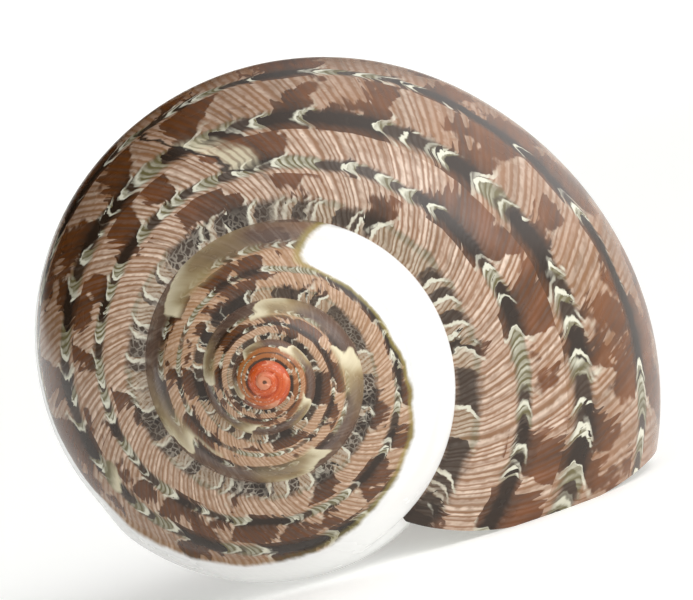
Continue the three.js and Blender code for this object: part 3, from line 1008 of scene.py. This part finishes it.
def white_acrylic(colour):
    """Backlit white acrylic table: matt, and bright enough of its own that shadows on it stay faint."""
    material, add = new_material("backlit_white_acrylic")
    shader = add(SHADER, {
        "Base Color": colour, "Roughness": FLOOR_ROUGHNESS, "Specular IOR Level": FLOOR_SHEEN,
        "Emission Color": colour, "Emission Strength": FLOOR_GLOW,
    })
    add("ShaderNodeOutputMaterial", {"Surface": shader})
    return material


def new_object(name, data):
    item = bpy.data.objects.new(name, data)
    bpy.context.scene.collection.objects.link(item)
    return item


class BuildShell(bpy.types.Operator):
    """Grow the shell and give it its patterned skin and pearly lining."""

    bl_idname = "turban_shell.build_shell"
    bl_label = "Shell"

    def execute(self, context):
        settings = context.scene.turban_shell
        mesh = shell_mesh(settings.form)
        mesh.materials.append(patterned_skin(settings.colours))
        mesh.materials.append(pearl_lining(settings.colours))
        shell = new_object("turban_shell", mesh)
        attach(shell, "root")
        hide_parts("shell")
        return {"FINISHED"}


class BuildStage(bpy.types.Operator):
    """Lay the pale floor, light it softly and set the camera."""

    bl_idname = "turban_shell.build_stage"
    bl_label = "Studio Stage"

    def execute(self, context):
        stage = context.scene.turban_shell.stage
        self.lay_floor(stage)
        self.light(context.scene, stage)
        self.place_camera(context.scene, stage)
        return {"FINISHED"}

    def lay_floor(self, stage):
        bm = bmesh.new()
        profile = [Vector((0, 0, 0)), Vector((stage.radius, 0, 0))]
        for i in range(1, FLOOR_BEND_STEPS + 1):
            angle = math.pi / 2 * i / FLOOR_BEND_STEPS
            reach = stage.radius + FLOOR_BEND * math.sin(angle)
            profile.append(Vector((reach, 0, FLOOR_BEND * (1 - math.cos(angle)))))
        verts = [bm.verts.new(p) for p in profile]
        edges = [bm.edges.new(pair) for pair in zip(verts, verts[1:])]
        bmesh.ops.spin(
            bm, geom=verts + edges, cent=(0, 0, 0), axis=(0, 0, 1), angle=CIRCLE, steps=FLOOR_STEPS,
            use_merge=True,
        )
        bmesh.ops.remove_doubles(bm, verts=bm.verts, dist=FLOOR_WELD)
        bmesh.ops.recalc_face_normals(bm, faces=bm.faces)
        for face in bm.faces:
            face.smooth = True
        mesh = bpy.data.meshes.new("acrylic_floor")
        bm.to_mesh(mesh)
        bm.free()
        mesh.materials.append(white_acrylic(stage.floor))
        new_object("acrylic_floor", mesh)

    def light(self, scene, stage):
        world = bpy.data.worlds.new("white_surround")
        world.use_nodes = True
        tree = world.node_tree
        direction = add_node(tree, "ShaderNodeTexCoord", out="Generated")
        towards = add_node(
            tree, "ShaderNodeVectorMath", (direction, BRIGHT_SIDE), "Value", operation="DOT_PRODUCT")
        strength = add_node(tree, RANGE, (towards, *BRIGHT_SPREAD, stage.dim_side, stage.surround))
        background = tree.nodes["Background"]
        background.inputs["Color"].default_value = linear("#ffffff")
        tree.links.new(strength, background.inputs["Strength"])
        scene.world = world
        lamp = bpy.data.lights.new("softbox", "AREA")
        lamp.shape = "RECTANGLE"
        lamp.size = SOFTBOX_SIZE
        lamp.size_y = SOFTBOX_SIZE
        lamp.energy = stage.softbox
        softbox = new_object("softbox", lamp)
        softbox.location = SOFTBOX_PLACE
        softbox.rotation_euler = (-softbox.location).to_track_quat("-Z", "Y").to_euler()
        scene.view_settings.view_transform = "Standard"

    def place_camera(self, scene, stage):
        back = Vector((*[math.sin(math.radians(lean)) for lean in AXIS_LEAN_DEG], 0))
        back.z = math.sqrt(1 - back.length_squared)
        right = Vector((0, 1, 0)).cross(back).normalized()
        up = back.cross(right)
        per_pixel = stage.camera_distance / stage.focal_pixels
        aside = (PHOTO_WIDTH / 2 - POLE_PIXEL[0]) * per_pixel
        above = (POLE_PIXEL[1] - PHOTO_HEIGHT / 2) * per_pixel
        where = back * stage.camera_distance + right * aside + up * above
        axes = Matrix((right, up, back)).transposed().to_4x4()
        lens = bpy.data.cameras.new("camera")
        lens.sensor_width = SENSOR_WIDTH
        lens.lens = stage.focal_pixels / PHOTO_WIDTH * SENSOR_WIDTH
        lens.clip_start = CLIP_START
        camera = new_object("camera", lens)
        camera.matrix_world = rest_matrix() @ Matrix.Translation(where) @ axes
        scene.camera = camera


class TurbanShellSettings(bpy.types.PropertyGroup):
    """All settings of the shell and its stage."""

    form: PointerProperty(type=ShellForm)
    colours: PointerProperty(type=ShellColours)
    stage: PointerProperty(type=StageSettings)


class TurbanShellPanel(bpy.types.Panel):
    """Sidebar panel with the settings and the build buttons."""

    bl_idname = "VIEW3D_PT_turban_shell"
    bl_label = "Turban Shell"
    bl_space_type = "VIEW_3D"
    bl_region_type = "UI"
    bl_category = "Shell"

    def draw(self, context):
        settings = context.scene.turban_shell
        for group in (settings.form, settings.colours, settings.stage):
            column = self.layout.column(align=True)
            for name in group.__annotations__:
                column.prop(group, name)
        self.layout.operator(BuildShell.bl_idname)
        self.layout.operator(BuildStage.bl_idname)


CLASSES = (
    ShellForm, ShellColours, StageSettings, TurbanShellSettings, BuildShell, BuildStage, TurbanShellPanel,
)


def register():
    for cls in CLASSES:
        bpy.utils.register_class(cls)
    bpy.types.Scene.turban_shell = PointerProperty(type=TurbanShellSettings)


def unregister():
    del bpy.types.Scene.turban_shell
    for cls in reversed(CLASSES):
        bpy.utils.unregister_class(cls)


def main():
    register()
    bpy.ops.turban_shell.build_shell()
    bpy.ops.turban_shell.build_stage()


if __name__ == "__main__":
    main()
